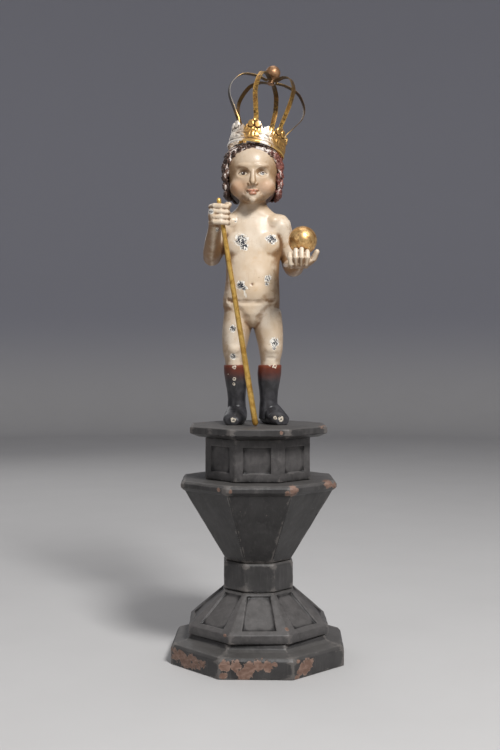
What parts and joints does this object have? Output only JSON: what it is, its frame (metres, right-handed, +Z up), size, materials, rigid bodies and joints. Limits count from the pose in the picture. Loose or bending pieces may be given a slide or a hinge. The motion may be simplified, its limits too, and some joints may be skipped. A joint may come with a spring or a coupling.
{
  "type": "crowned infant figurine on plinth",
  "caption": "Carved and painted standing infant figure with openwork crown, orb and staff, on a stacked octagonal plinth; stands on a shelf as decoration.",
  "frame": {"origin": "centre of the plinth's underside", "axes": "+Z up, the figure faces -Y, its left hand is towards +X"},
  "size_m": [0.159, 0.159, 0.5533],
  "materials": {
    "dark_paint": "matt near-black paint on wood, worn to brown at the edges",
    "flesh_paint": "satin aged flesh paint on carved wood",
    "gilding": "worn gilding on turned wood",
    "worn_metal": "gilded and silvered sheet metal, rubbed"
  },
  "bodies": {
    "root": {"plinth_base": "dark_paint", "plinth_skirt": "dark_paint", "plinth_collar": "dark_paint", "plinth_funnel": "dark_paint", "plinth_drum": "dark_paint", "plinth_top": "dark_paint", "figure": "flesh_paint", "staff": "gilding", "orb": "gilding", "crown_band": "worn_metal", "crown_arch_1": "worn_metal", "crown_arch_2": "worn_metal", "crown_arch_3": "worn_metal", "crown_arch_4": "worn_metal", "crown_arch_5": "worn_metal", "crown_arch_6": "worn_metal", "crown_ball": "worn_metal"}
  },
  "joints": []
}
